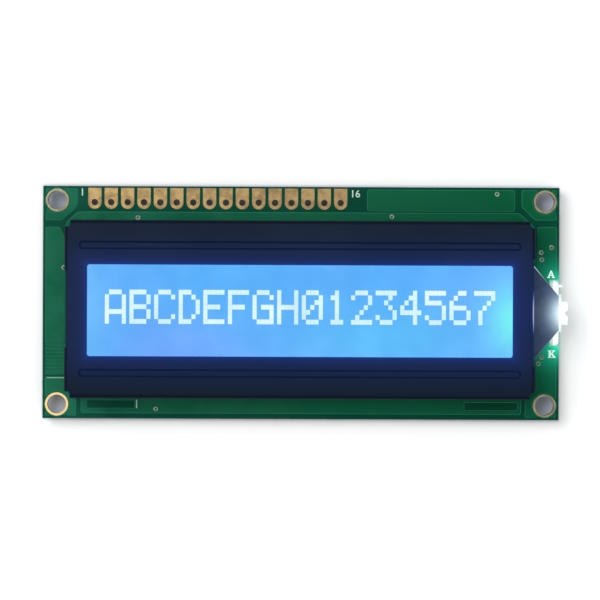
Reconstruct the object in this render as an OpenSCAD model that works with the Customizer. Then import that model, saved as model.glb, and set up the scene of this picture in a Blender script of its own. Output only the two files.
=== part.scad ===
// Character LCD module with one line of characters and an edge light.
// The board lies flat, face up. The origin is the centre of the four mounting holes, on the board's rear face.
// +X runs along the line of characters, +Y points at the pin header, +Z points at the viewer.

/* [Characters] */
// Number of characters in the line
char_count = 16; // [10:1:24]
// Width of one dot
dot_w = 0.6; // [0.4:0.01:0.8]
// Height of one dot
dot_h = 0.7; // [0.5:0.01:0.9]
// Gap between neighbouring dots
dot_gap = 0.05; // [0.03:0.01:0.1]
// Gap between neighbouring characters
char_gap = 0.57; // [0.4:0.01:1]
// Height of the line of characters above the window's centre line
text_rise = 0.2; // [0:0.05:1]

/* [Bezel] */
// Thickness of the bezel's sheet
sheet_t = 0.5; // [0.3:0.05:0.7]
// Outer radius of the bezel's bends
bend_r = 0.8; // [0.75:0.05:1]
// Viewing margin from the characters to the window's ends
window_margin_x = 2.625; // [1.5:0.125:4]
// Viewing margin from the characters to the window's long sides
window_margin_y = 4.025; // [3:0.025:5]
// Radius of the window's corners
window_r = 0.4; // [0.2:0.05:1]
// Rim from the window to either end of the bezel
rim_end = 3.5; // [3:0.1:6]
// Rim from the window to the bezel's upper side
rim_top = 6.83; // [6.5:0.01:9]
// Rim from the window to the bezel's lower side
rim_bottom = 6.47; // [6.3:0.01:9]
// Open corner, along the end wall
corner_y = 1.05; // [0.9:0.05:2]
// Open corner, along the long wall
corner_x = 0.9; // [0.85:0.05:2]
// Distance of the raw edge between the legs behind the legs' faces
raw_edge = 0.3; // [0.1:0.05:0.6]
// Length of the wall that is left out between the two left legs
left_relief = 11.8; // [8:0.2:14]
// Distance from the bezel's side to the middle of a pressed bead
bead_inset = 3.88; // [3.6:0.02:4.2]
// Distance from the bezel's end to the end of a bead
bead_end = 2.2; // [1.8:0.1:5]
// Width of a bead at the face
bead_w = 1.3; // [1:0.1:1.6]
// Width of a bead at its floor
bead_floor = 0.7; // [0.4:0.1:0.9]

/* [Tabs] */
// Width of a tab
tab_w = 2.4; // [1.6:0.1:2.8]
// Depth of the tabs below the board
tab_drop = 1.5; // [1.4:0.1:2.5]
// Angle through which the tabs are twisted
tab_twist = 35; // [20:5:50]
// Distance of the long walls' tabs from the bezel's ends
tab_end = 15; // [10:0.5:17]
// Clearance round a tab in its slot
slot_gap = 0.2; // [0.1:0.05:0.3]
// Length of a twisted tab's straight neck below the board
neck_drop = 0.3; // [0.2:0.05:0.5]
// Gap between a twisted tab and the board
twist_gap = 0.05; // [0.02:0.01:0.1]

/* [Board] */
// Thickness of the board
board_t = 1.6; // [1:0.1:2.4]
// Thickness of the copper and its plating
pad_t = 0.05; // [0.03:0.01:0.1]
// Diameter of the mounting holes
hole_d = 2.9; // [2:0.1:3.2]
// Diameter of the gold rings round the mounting holes
ring_d = 3.6; // [3.4:0.1:5]
// Distance from a ring to the board's edges
ring_edge = 0.4; // [0.2:0.05:1]
// How far a ring runs past the line of the bezel's left side
ring_tuck_x = 0.15; // [0:0.05:0.5]
// How far a ring runs past the line of the bezel's lower side
ring_tuck_y = 0.69; // [0.2:0.01:1]
// Board left free past the rings' inner edge at the right end
right_margin = 0.15; // [0:0.05:3]
// Strip left free between the header pads and the bezel
header_strip = 1.865; // [1:0.005:4]

/* [Header] */
// Number of header pins
pin_count = 16; // [14:1:18]
// Distance between pins
pin_pitch = 2.54; // [2.3:0.01:2.54]
// Distance from the left edge to the first pin
pin_start = 8; // [7:0.1:9]
// Distance from the upper edge to the pins
pin_edge = 2.5; // [2:0.1:3.5]
// Diameter of the pins' holes
pin_hole_d = 1; // [0.8:0.05:1.1]
// Width of a header pad
pin_pad_w = 2.05; // [1.6:0.05:2.1]
// Distance from the pads to the upper edge
pin_pad_edge = 0.28; // [0.1:0.02:0.5]

/* [Cell] */
// Thickness of either glass
glass_t = 1.1; // [0.7:0.1:1.3]
// Thickness of a polarizer
polarizer_t = 0.2; // [0.1:0.05:0.3]
// Gap between the glasses, widened so that it shows
cell_gap = 0.06; // [0.04:0.01:0.1]
// Thickness of the character fields
field_t = 0.02; // [0.01:0.01:0.03]
// Gap between the glass and the bezel's ends
glass_end_gap = 0.5; // [0.4:0.05:1]
// Gap between the glass and the bezel's long walls
glass_side_gap = 0.35; // [0.2:0.05:0.6]
// Width of the ledges by which the front glass overhangs the rear one
ledge_w = 2.5; // [2.2:0.1:3]
// Distance from the glass's end to the front polarizer
polarizer_end = 1.2; // [0.8:0.1:1.6]
// Gap between the front polarizer and the beads
polarizer_gap = 0.2; // [0.1:0.05:0.5]
// Distance from the rear glass's edge to the rear polarizer
rear_polarizer_inset = 0.6; // [0.3:0.1:1.2]
// Distance from the rear glass's edge to the seal
seal_inset = 0.3; // [0.1:0.05:0.8]
// Width of the seal
seal_w = 1.2; // [0.8:0.1:1.6]
// Width of the filling gap in the seal
fill_w = 1.5; // [1:0.1:3]
// How far the fill plug stands out of the cell
fill_bulge = 0.25; // [0.1:0.05:0.35]

/* [Elastomer strips] */
// Width of an elastomer strip
strip_w = 1.8; // [1.4:0.1:2]
// Distance from the glass's end to a strip
strip_end = 1.5; // [1:0.1:3]
// Distance between contact fingers
finger_pitch = 1.6; // [1.4:0.1:2.4]
// Width of a contact finger
finger_w = 0.8; // [0.4:0.05:1]

/* [Back light] */
// Thickness of the light guide
guide_t = 3.8; // [3:0.1:4.5]
// Thickness of the reflector film
reflector_t = 0.1; // [0.05:0.05:0.2]
// Thickness of the diffuser film
diffuser_t = 0.15; // [0.1:0.05:0.3]
// Step from the rear glass's edge in to the light guide's
guide_step = 0.1; // [0:0.05:0.3]
// Distance from the glass's left end to the light guide
guide_end = 0.4; // [0.2:0.1:1]
// Angle between the funnel's sides and the board's length
funnel_angle = 50.3; // [45:0.1:56]
// Distance of the LED's middle below the bezel's centre line
led_drop = 0.36; // [0:0.02:1]
// Gap between the funnel and the legs beside it
funnel_gap = 0.4; // [0.2:0.05:0.6]
// Gap between the funnel's underside and the solder below it
funnel_lift = 0.1; // [0.05:0.05:0.3]
// Thickness of the dark tape
tape_t = 0.1; // [0.05:0.01:0.15]
// Distance from the funnel's edges to the tape
tape_inset = 0.1; // [0:0.02:0.3]
// How far the tape reaches over the LED's flange
tape_over = 0.2; // [0.1:0.05:0.4]
// Length of the tape that is hidden under the bezel
tape_under = 0.4; // [0.2:0.1:0.4]

/* [LED] */
// Width of the LED's flange
flange_w = 5.8; // [5:0.1:6.4]
// Thickness of the LED's flange
flange_t = 0.6; // [0.5:0.05:0.9]
// Width of the LED's body
led_w = 3.5; // [3.2:0.1:4.6]
// How far the LED's body stands past the board
led_out = 1; // [0.8:0.1:2]
// Radius of the notch in the LED's outer side
notch_r = 0.5; // [0.4:0.05:0.8]
// Distance from the LED's outer side out to the notch's axis
notch_out = 0.1; // [0:0.05:0.3]
// Width of the LED's mouth
mouth_w = 2.8; // [2:0.1:3.4]
// Height of the LED's mouth
mouth_h = 2; // [1.4:0.1:2.4]
// Depth of the LED's mouth
mouth_d = 0.4; // [0.2:0.05:0.5]
// Width of a lead
lead_w = 0.4; // [0.3:0.05:0.45]
// Thickness of a lead
lead_t = 0.2; // [0.15:0.05:0.3]
// Distance from the LED's middle to the inner ends of the leads
lead_inner = 0.7; // [0.4:0.1:1.2]
// Distance from the LED's middle to the outer ends of the leads
lead_outer = 4.4; // [4:0.1:4.8]
// How far the end of the upper lead stands out past the board
lead_tail = 0.5; // [0.3:0.05:0.8]
// Length of a backlight pad
led_pad_l = 2.7; // [2.2:0.1:3]
// Width of a backlight pad
led_pad_w = 1.5; // [1.2:0.1:2]
// Distance between the backlight pads
led_pad_pitch = 7.62; // [7.5:0.01:8.5]
// Height of the solder on a backlight pad
solder_h = 0.5; // [0.3:0.05:0.6]
// Distance from a backlight pad's edges to its solder
solder_inset = 0.1; // [0.05:0.01:0.3]

/* [Rear parts] */
// Radius of the controller's potting dome
controller_r = 6.8; // [5:0.1:7.5]
// Radius of the driver's potting dome
driver_r = 5.8; // [4.5:0.1:6.5]
// Height of the potting domes
dome_h = 1.25; // [1:0.05:1.35]
// Distance of the controller from the board's middle
controller_x = 12; // [10:0.5:14]
// Distance of the driver from the board's middle
driver_x = 14; // [11:0.5:15]
// Length of the controller's die
controller_die_l = 4.2; // [3:0.1:5]
// Length of the driver's die
driver_die_l = 3.4; // [2.5:0.1:4.5]
// Thickness of the dies
die_t = 0.4; // [0.3:0.05:0.5]
// Length of a chip part
chip_l = 2; // [1.6:0.1:2.4]
// Width of a chip part
chip_w = 1.25; // [0.8:0.05:1.4]
// Thickness of a chip resistor
resistor_t = 0.5; // [0.4:0.05:0.6]
// Thickness of a chip capacitor
capacitor_t = 0.85; // [0.6:0.05:1]
// Length of a chip part's metal ends
chip_end = 0.4; // [0.3:0.05:0.5]
// Thickness of a chip part's metal ends
end_skin = 0.05; // [0.03:0.01:0.1]
// How far a soldering pad stands out round a chip part
chip_pad_out = 0.3; // [0.1:0.05:0.4]
// Number of chip resistors in their row
resistor_count = 5; // [3:1:6]
// Number of chip capacitors in their row
capacitor_count = 3; // [2:1:4]
// Distance between chip parts
chip_pitch = 3.6; // [3.3:0.1:4]
// Distance of the rows of chip parts from the bezel's centre line
chip_row = 9.2; // [8.6:0.1:10]

/* [Vias] */
// Diameter of a via's land
via_d = 0.65; // [0.5:0.05:0.9]
// Diameter of a via's barrel
via_hole_d = 0.4; // [0.3:0.05:0.45]

/* [Hidden] */

// Bits of extra length that carry a cut clear of the faces it opens
cut = 1;
// Facets of round shapes
round_fn = 48;
// Facets of small round shapes that repeat
small_fn = 24;
// Facets round the large circle that shapes a potting dome
dome_fn = 144;

// Characters and window
cell_w = 5 * dot_w + 4 * dot_gap;
cell_h = 8 * dot_h + 7 * dot_gap;
char_pitch = cell_w + char_gap;
active_l = (char_count - 1) * char_pitch + cell_w;
window_l = active_l + 2 * window_margin_x;
window_w = cell_h + 2 * window_margin_y;

// Bezel and board outlines
bezel_l = window_l + 2 * rim_end;
bezel_w = window_w + rim_top + rim_bottom;
ring_zone = ring_edge + ring_d;
margin_left = ring_zone - ring_tuck_x;
margin_right = ring_zone + right_margin;
margin_bottom = ring_zone - ring_tuck_y;
margin_top = pin_edge + pin_pad_w / 2 + header_strip;
board_l = margin_left + bezel_l + margin_right;
board_w = margin_bottom + bezel_w + margin_top;
bezel_x = (margin_left - margin_right) / 2;
bezel_y = (margin_bottom - margin_top) / 2;
window_y = bezel_y + (rim_bottom - rim_top) / 2;
hole_inset = ring_edge + ring_d / 2;
hole_x = board_l / 2 - hole_inset;
hole_y = board_w / 2 - hole_inset;

// Stack of layers above the board, from the bottom up
board_top = board_t;
pad_top = board_top + pad_t;
guide_z = board_top + reflector_t;
diffuser_z = guide_z + guide_t;
rear_polarizer_z = diffuser_z + diffuser_t;
rear_glass_z = rear_polarizer_z + polarizer_t;
gap_z = rear_glass_z + glass_t;
front_glass_z = gap_z + cell_gap;
front_polarizer_z = front_glass_z + glass_t;
sheet_z = front_polarizer_z + polarizer_t;
bezel_top = sheet_z + sheet_t;

// Cell
glass_l = bezel_l - 2 * (sheet_t + glass_end_gap);
front_glass_w = bezel_w - 2 * (sheet_t + glass_side_gap);
rear_glass_w = front_glass_w - 2 * ledge_w;
bead_y = bezel_w / 2 - bead_inset;
bead_l = bezel_l - 2 * bead_end;
front_polarizer_w = 2 * (bead_y - bead_w / 2 - polarizer_gap);
front_polarizer_l = glass_l - 2 * polarizer_end;
seal_l = glass_l - 2 * seal_inset;
seal_outer_w = rear_glass_w - 2 * seal_inset;

// Elastomer strips and their fingers
strip_y = rear_glass_w / 2 + ledge_w / 2;
strip_l = glass_l - 2 * strip_end;
finger_count = floor((strip_l - finger_w) / finger_pitch) + 1;

// Light guide: a plate whose right end narrows to the LED's flange
led_y = bezel_y - led_drop;
flange_x = board_l / 2 - flange_t;
guide_w = rear_glass_w - 2 * guide_step;
guide_left = bezel_x - glass_l / 2 + guide_end;
film_right = bezel_x + glass_l / 2 - guide_end;
leg_x = bezel_l / 2 - sheet_t;
right_relief = 2 * (funnel_half(bezel_x + leg_x) + funnel_gap);

// LED
led_z = pad_top + lead_t;
led_top = diffuser_z;
led_h = led_top - led_z;
led_back = board_l / 2 + led_out;
lead_x = flange_x + flange_t / 2;
led_pad_x = board_l / 2 - led_pad_w / 2;
funnel_z = pad_top + solder_h + funnel_lift;
step_x = bezel_x + bezel_l / 2;

// Tabs: the walls' middle lines, and the places of the tabs along them
wall_mid_x = bezel_l / 2 - sheet_t / 2;
wall_mid_y = bezel_w / 2 - sheet_t / 2;
leg_end = bezel_w / 2 - corner_y;
left_tab_y = (left_relief / 2 + leg_end) / 2;
upper_tab_y = (right_relief / 2 - led_drop + leg_end) / 2;
lower_tab_y = (-right_relief / 2 - led_drop - leg_end) / 2;
// Each tab: place from the bezel's centre, and whether it stands in a long wall
tabs = [
    for (side = [-1, 1]) [-wall_mid_x, side * left_tab_y, false],
    [wall_mid_x, upper_tab_y, false],
    [wall_mid_x, lower_tab_y, false],
    for (end = [-1, 1], side = [-1, 1]) [end * (bezel_l / 2 - tab_end), side * wall_mid_y, true]
];

// Rear parts
rear_y = bezel_y;
resistor_y = rear_y + chip_row;
capacitor_y = rear_y - chip_row;

// Vias past the bezel's ends: which end, the distance past it, and the height over the centre line
end_vias = [[1, 1.35, 9], [1, 1.45, 7.9], [1, 2.95, 9.8], [1, 1.45, -7.2], [1, 0.95, -8.2], [-1, 0.6, 6.4]];
// Vias past the bezel's sides: which side, the distance past it, the nearer end and the distance in from it
side_vias = [[1, 4.35, 1, 5.5], [1, 0.8, 1, 21.8], [-1, 1.8, -1, 13.7]];

// Half the funnel's width at a place along the board
function funnel_half(x) = flange_w / 2 + (flange_x - x) * tan(funnel_angle);
// Place along the board where the funnel's side starts from the guide's long side
function funnel_start(half) = flange_x - (half - flange_w / 2) / tan(funnel_angle);
// Place of a header pin
function pin_x(i) = -board_l / 2 + pin_start + i * pin_pitch;
pin_y = board_w / 2 - pin_edge;
// Place of a chip part in its row
function chip_x(i, count) = (i - (count - 1) / 2) * chip_pitch;

// A flat rectangle on the bezel's centre
module plate(l, w, t, z, y = bezel_y) {
    translate([bezel_x - l / 2, y - w / 2, z])
        cube([l, w, t]);
}

// A flat rectangle with rounded corners, in the plane
module rounded(l, w, r) {
    square([l - 2 * r, w], center = true);
    square([l, w - 2 * r], center = true);
    for (x = [-1, 1], y = [-1, 1])
        translate([x * (l / 2 - r), y * (w / 2 - r)])
            circle(r = r, $fn = small_fn);
}

module mounting_places() {
    for (x = [-1, 1], y = [-1, 1])
        translate([x * hole_x, y * hole_y, 0])
            children();
}

module pin_places() {
    for (i = [0 : pin_count - 1])
        translate([pin_x(i), pin_y, 0])
            children();
}

module via_places() {
    for (v = end_vias)
        translate([bezel_x + v[0] * (bezel_l / 2 + v[1]), bezel_y + v[2], 0])
            children();
    for (v = side_vias)
        translate([bezel_x + v[2] * (bezel_l / 2 - v[3]), bezel_y + v[0] * (bezel_w / 2 + v[1]), 0])
            children();
}

// The places of the tabs, turned along their walls
module tab_places() {
    for (t = tabs)
        translate([bezel_x + t[0], bezel_y + t[1], 0])
            rotate(t[2] ? 0 : 90)
                children();
}

module printed_board() {
    color("seagreen")
        difference() {
            translate([-board_l / 2, -board_w / 2, 0])
                cube([board_l, board_w, board_t]);
            mounting_places()
                translate([0, 0, -cut])
                    cylinder(d = hole_d + 2 * pad_t, h = board_t + 2 * cut, $fn = round_fn);
            pin_places()
                translate([0, 0, -cut])
                    cylinder(d = pin_hole_d + 2 * pad_t, h = board_t + 2 * cut, $fn = small_fn);
            via_places()
                translate([0, 0, -cut])
                    cylinder(d = via_hole_d, h = board_t + 2 * cut, $fn = small_fn);
            tab_places()
                translate([0, 0, -cut])
                    linear_extrude(board_t + 2 * cut)
                        rounded(tab_w + 2 * slot_gap, sheet_t + 2 * slot_gap, slot_gap);
        }
}

// Outline of a header pad: round towards the display, square towards the board's edge
module pin_pad_outline() {
    circle(d = pin_pad_w, $fn = small_fn);
    translate([-pin_pad_w / 2, 0])
        square([pin_pad_w, pin_edge - pin_pad_edge]);
}

// A plated hole: its lands on both faces, joined by the barrel
module plated_hole(hole) {
    difference() {
        union() {
            translate([0, 0, board_t])
                linear_extrude(pad_t)
                    children();
            translate([0, 0, -pad_t])
                linear_extrude(pad_t)
                    children();
            cylinder(d = hole + 2 * pad_t, h = board_t, $fn = small_fn);
        }
        translate([0, 0, -cut])
            cylinder(d = hole, h = board_t + 2 * cut, $fn = small_fn);
    }
}

module header_pads() {
    color("gold")
        pin_places()
            plated_hole(pin_hole_d)
                pin_pad_outline();
}

module mounting_rings() {
    color("gold")
        mounting_places()
            plated_hole(hole_d)
                circle(d = ring_d, $fn = round_fn);
}

module backlight_pads() {
    color("gold")
        for (side = [-1, 1])
            translate([led_pad_x, led_y + side * led_pad_pitch / 2, board_top + pad_t / 2])
                cube([led_pad_w, led_pad_l, pad_t], center = true);
}

module vias() {
    color("darkseagreen")
        via_places() {
            cylinder(d = via_hole_d, h = board_t, $fn = small_fn);
            for (z = [-pad_t, board_t])
                translate([0, 0, z])
                    cylinder(d = via_d, h = pad_t, $fn = small_fn);
        }
}

module contact_fingers() {
    color("gold")
        for (i = [0 : finger_count - 1], side = [-1, 1])
            translate([
                bezel_x + (i - (finger_count - 1) / 2) * finger_pitch,
                bezel_y + side * strip_y,
                board_top + pad_t / 2
            ])
                cube([finger_w, strip_w, pad_t], center = true);
}

// Section of a bent wall, in the plane: the plate's end, a quarter ring and the wall down to the board.
// The wall's outer face lies on the line x = 0 and the plate's top face on y = 0.
module bend_section(plate_run) {
    wall_h = bezel_top - board_top;
    translate([-bend_r - plate_run, -sheet_t])
        square([plate_run, sheet_t]);
    translate([-sheet_t, -wall_h])
        square([sheet_t, wall_h - bend_r]);
    translate([-bend_r, -bend_r])
        intersection() {
            difference() {
                circle(r = bend_r, $fn = round_fn);
                circle(r = bend_r - sheet_t, $fn = round_fn);
            }
            square(bend_r);
        }
}

// A bent wall of a given length whose outer face lies on the plane y = 0, centred on x = 0
module bent_wall(l) {
    translate([-l / 2, 0, bezel_top])
        rotate([90, 0, 90])
            linear_extrude(l)
                bend_section(sheet_t);
}

// A tab: a straight neck through the board, and a twisted blade behind it
module tab() {
    translate([-tab_w / 2, -sheet_t / 2, -neck_drop])
        cube([tab_w, sheet_t, board_top + neck_drop]);
    rotate(tab_twist)
        translate([-tab_w / 2, -sheet_t / 2, -tab_drop])
            cube([tab_w, sheet_t, tab_drop - twist_gap]);
}

// A long form with sloping sides and round ends, narrow end down, its wide end on the plane z = 0
module bead_form(l, top_w, floor_w, depth) {
    translate([-l / 2, 0, 0])
        rotate([90, 0, 90])
            linear_extrude(l)
                polygon([[-top_w / 2, 0], [-floor_w / 2, -depth], [floor_w / 2, -depth], [top_w / 2, 0]]);
    for (end = [-1, 1])
        translate([end * l / 2, 0, 0])
            rotate_extrude($fn = small_fn)
                polygon([[0, 0], [0, -depth], [floor_w / 2, -depth], [top_w / 2, 0]]);
}

module bezel() {
    straight_l = bead_l - bead_w;
    left_leg = leg_end - left_relief / 2;
    upper_leg = leg_end + led_drop - right_relief / 2;
    lower_leg = leg_end - led_drop - right_relief / 2;
    color([0.12, 0.15, 0.2])
        difference() {
            union() {
                // the flat plate, with the raw edges between the legs
                plate(bezel_l - 2 * bend_r, bezel_w - 2 * bend_r, sheet_t, sheet_z);
                translate([bezel_x - bezel_l / 2 + raw_edge, bezel_y - left_relief / 2, sheet_z])
                    cube([bend_r, left_relief, sheet_t]);
                translate([bezel_x + bezel_l / 2 - raw_edge - bend_r, led_y - right_relief / 2, sheet_z])
                    cube([bend_r, right_relief, sheet_t]);
                // the long walls
                for (side = [0, 180])
                    translate([bezel_x, bezel_y, 0])
                        rotate(side)
                            translate([0, bezel_w / 2, 0])
                                bent_wall(bezel_l - 2 * corner_x);
                // the legs of the left end
                for (side = [-1, 1])
                    translate([bezel_x - bezel_l / 2, bezel_y + side * (leg_end - left_leg / 2), 0])
                        rotate(90)
                            bent_wall(left_leg);
                // the legs of the right end, either side of the funnel
                translate([bezel_x + bezel_l / 2, bezel_y + leg_end - upper_leg / 2, 0])
                    rotate(-90)
                        bent_wall(upper_leg);
                translate([bezel_x + bezel_l / 2, bezel_y - leg_end + lower_leg / 2, 0])
                    rotate(-90)
                        bent_wall(lower_leg);
                tab_places()
                    tab();
                // the beads' undersides press on the glass
                for (side = [-1, 1])
                    translate([bezel_x, bezel_y + side * bead_y, sheet_z])
                        bead_form(straight_l, bead_w, bead_floor, polarizer_t);
            }
            // window
            translate([bezel_x, window_y, sheet_z - cut])
                linear_extrude(sheet_t + 2 * cut)
                    rounded(window_l, window_w, window_r);
            // the beads' grooves
            for (side = [-1, 1])
                translate([bezel_x, bezel_y + side * bead_y, bezel_top])
                    bead_form(straight_l, bead_w, bead_floor, polarizer_t);
        }
}

module front_polarizer() {
    color([0.35, 0.5, 0.9, 0.6])
        plate(front_polarizer_l, front_polarizer_w, polarizer_t, front_polarizer_z);
}

module front_glass() {
    color([0.8, 0.9, 1, 0.5])
        plate(glass_l, front_glass_w, glass_t, front_glass_z);
}

module character_fields() {
    color("lightcyan")
        for (i = [0 : char_count - 1])
            translate([
                bezel_x + (i - (char_count - 1) / 2) * char_pitch,
                window_y + text_rise,
                front_glass_z - field_t / 2
            ])
                cube([cell_w, cell_h, field_t], center = true);
}

module liquid_crystal() {
    color("deepskyblue")
        plate(seal_l - 2 * seal_w, seal_outer_w - 2 * seal_w, cell_gap - field_t, gap_z);
}

module cell_seal() {
    color("gray")
        difference() {
            plate(seal_l, seal_outer_w, cell_gap, gap_z);
            plate(seal_l - 2 * seal_w, seal_outer_w - 2 * seal_w, cell_gap + 2 * cut, gap_z - cut);
            translate([bezel_x - seal_l / 2 - cut, bezel_y - fill_w / 2, gap_z - cut])
                cube([seal_w + 2 * cut, fill_w, cell_gap + 2 * cut]);
        }
}

// The plug fills the gap in the seal and ends in a bead of glue on the glasses' edge
module fill_plug() {
    color("khaki") {
        translate([bezel_x - glass_l / 2, bezel_y - fill_w / 2, gap_z])
            cube([seal_inset + seal_w, fill_w, cell_gap]);
        translate([bezel_x - glass_l / 2 - fill_bulge, bezel_y - fill_w, gap_z - glass_t / 2])
            cube([fill_bulge, 2 * fill_w, cell_gap + glass_t]);
    }
}

module rear_glass() {
    color([0.8, 0.9, 1, 0.5])
        plate(glass_l, rear_glass_w, glass_t, rear_glass_z);
}

module rear_polarizer() {
    color([0.4, 0.5, 0.7, 0.7])
        plate(
            glass_l - 2 * rear_polarizer_inset,
            rear_glass_w - 2 * rear_polarizer_inset,
            polarizer_t,
            rear_polarizer_z
        );
}

module diffuser_film() {
    color("white")
        translate([guide_left, bezel_y - guide_w / 2, diffuser_z])
            cube([film_right - guide_left, guide_w, diffuser_t]);
}

// Outline of the light guide: a rectangle that narrows to the LED's flange
module guide_outline() {
    upper = bezel_y + guide_w / 2;
    lower = bezel_y - guide_w / 2;
    polygon([
        [guide_left, lower],
        [funnel_start(led_y - lower), lower],
        [flange_x, led_y - flange_w / 2],
        [flange_x, led_y + flange_w / 2],
        [funnel_start(upper - led_y), upper],
        [guide_left, upper]
    ]);
}

// The part of that outline that lies inside the bezel
module inner_outline() {
    intersection() {
        guide_outline();
        translate([guide_left, bezel_y - guide_w / 2])
            square([step_x - guide_left, guide_w]);
    }
}

// The guide rests on the film inside the bezel, and its funnel runs clear over the solder
module light_guide() {
    color([0.9, 0.97, 1, 0.6]) {
        translate([0, 0, guide_z])
            linear_extrude(guide_t)
                inner_outline();
        translate([0, 0, funnel_z])
            linear_extrude(diffuser_z - funnel_z)
                guide_outline();
    }
}

module reflector_film() {
    color("white")
        translate([0, 0, board_top])
            linear_extrude(reflector_t)
                inner_outline();
}

module upper_strip() {
    color("dimgray")
        plate(strip_l, strip_w, front_glass_z - pad_top, pad_top, bezel_y + strip_y);
}

module lower_strip() {
    color("dimgray")
        plate(strip_l, strip_w, front_glass_z - pad_top, pad_top, bezel_y - strip_y);
}

// The tape lies on the funnel, from just past the films to the LED's flange
module guide_tape() {
    tape_left = bezel_x + bezel_l / 2 - raw_edge - tape_under;
    tape_right = flange_x + tape_over;
    wide = funnel_half(tape_left) - tape_inset / cos(funnel_angle);
    narrow = flange_w / 2 - tape_inset / cos(funnel_angle);
    color("slategray")
        translate([0, 0, diffuser_z])
            linear_extrude(tape_t)
                polygon([
                    [tape_left, led_y - wide],
                    [flange_x, led_y - narrow],
                    [tape_right, led_y - narrow],
                    [tape_right, led_y + narrow],
                    [flange_x, led_y + narrow],
                    [tape_left, led_y + wide]
                ]);
}

module led_mouth() {
    translate([flange_x, led_y - mouth_w / 2, (led_z + led_top - mouth_h) / 2])
        cube([mouth_d, mouth_w, mouth_h]);
}

module led_housing() {
    color("white")
        difference() {
            translate([0, 0, led_z])
                linear_extrude(led_h)
                    difference() {
                        union() {
                            translate([flange_x, led_y - flange_w / 2])
                                square([flange_t, flange_w]);
                            translate([flange_x, led_y - led_w / 2])
                                square([flange_t + led_out, led_w]);
                        }
                        translate([led_back + notch_out, led_y])
                            circle(r = notch_r, $fn = small_fn);
                    }
            led_mouth();
        }
}

module led_lens() {
    color("khaki")
        led_mouth();
}

// The leads lie on the pads, and the upper one ends past the board's edge
module lead_forms() {
    for (start = [lead_inner, -lead_outer])
        translate([lead_x - lead_w / 2, led_y + start, pad_top])
            cube([lead_w, lead_outer - lead_inner, lead_t]);
    translate([lead_x, led_y + lead_outer - lead_w, pad_top])
        cube([flange_t / 2 + lead_tail, lead_w, lead_t]);
}

module led_leads() {
    color("silver")
        lead_forms();
}

// A mound of solder over each lead, from the flange to the pad's outer end
module led_solder() {
    half_w = led_pad_w / 2 - solder_inset;
    mound_r = (half_w * half_w + solder_h * solder_h) / (2 * solder_h);
    inner = flange_w / 2 + solder_inset + half_w;
    outer = led_pad_pitch / 2 + led_pad_l / 2 - solder_inset - half_w;
    color("lightgray")
        for (side = [-1, 1])
            difference() {
                intersection() {
                    union() {
                        for (y = [inner, outer])
                            translate([led_pad_x, led_y + side * y, pad_top + solder_h - mound_r])
                                sphere(r = mound_r, $fn = small_fn);
                        translate([led_pad_x, led_y + side * inner, pad_top + solder_h - mound_r])
                            rotate([-90 * side, 0, 0])
                                cylinder(r = mound_r, h = outer - inner, $fn = small_fn);
                    }
                    translate([led_pad_x - led_pad_w / 2, led_y + side * inner - led_pad_l, pad_top])
                        cube([led_pad_w, 2 * led_pad_l, 2 * solder_h]);
                }
                lead_forms();
            }
}

// A die on the rear face
module die(x, l) {
    translate([x - l / 2, rear_y - l / 2, -die_t])
        cube([l, l, die_t]);
}

// A flat dome on the rear face: half a slice of a large circle, spun round, less the die in it
module dome(x, r, l) {
    sphere_r = (r * r + dome_h * dome_h) / (2 * dome_h);
    difference() {
        translate([x, rear_y, 0])
            rotate_extrude($fn = round_fn)
                intersection() {
                    translate([0, sphere_r - dome_h])
                        circle(r = sphere_r, $fn = dome_fn);
                    translate([0, -dome_h - cut])
                        square([r + cut, dome_h + cut]);
                }
        die(x, l);
    }
}

module controller_die() {
    color("dimgray")
        die(-controller_x, controller_die_l);
}

module controller_dome() {
    color([0.1, 0.1, 0.1])
        dome(-controller_x, controller_r, controller_die_l);
}

module driver_die() {
    color("dimgray")
        die(driver_x, driver_die_l);
}

module driver_dome() {
    color([0.1, 0.1, 0.1])
        dome(driver_x, driver_r, driver_die_l);
}

// The ceramic body of a chip part, hanging from its pads
module chip_body(t) {
    translate([-chip_l / 2 + end_skin, -chip_w / 2, -pad_t - t - end_skin])
        cube([chip_l - 2 * end_skin, chip_w, t]);
}

// The metal ends of a chip part, which wrap round its body
module chip_ends(t) {
    difference() {
        for (end = [-1, 1])
            translate([end * (chip_l - chip_end) / 2, 0, -pad_t - end_skin - t / 2])
                cube([chip_end, chip_w, t + 2 * end_skin], center = true);
        chip_body(t);
    }
}

module resistor_places() {
    for (i = [0 : resistor_count - 1])
        translate([chip_x(i, resistor_count), resistor_y, 0])
            children();
}

module capacitor_places() {
    for (i = [0 : capacitor_count - 1])
        translate([chip_x(i, capacitor_count), capacitor_y, 0])
            children();
}

module resistor_bodies() {
    color([0.15, 0.15, 0.17])
        resistor_places()
            chip_body(resistor_t);
}

module resistor_ends() {
    color("silver")
        resistor_places()
            chip_ends(resistor_t);
}

module capacitor_bodies() {
    color("tan")
        capacitor_places()
            chip_body(capacitor_t);
}

module capacitor_ends() {
    color("silver")
        capacitor_places()
            chip_ends(capacitor_t);
}

// The pair of soldering pads under a chip part
module chip_pads() {
    pad_l = chip_end + 2 * chip_pad_out;
    for (end = [-1, 1])
        translate([end * (chip_l - chip_end) / 2, 0, -pad_t / 2])
            cube([pad_l, chip_w + chip_pad_out, pad_t], center = true);
}

module component_pads() {
    color("gold") {
        resistor_places()
            chip_pads();
        capacitor_places()
            chip_pads();
    }
}

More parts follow.
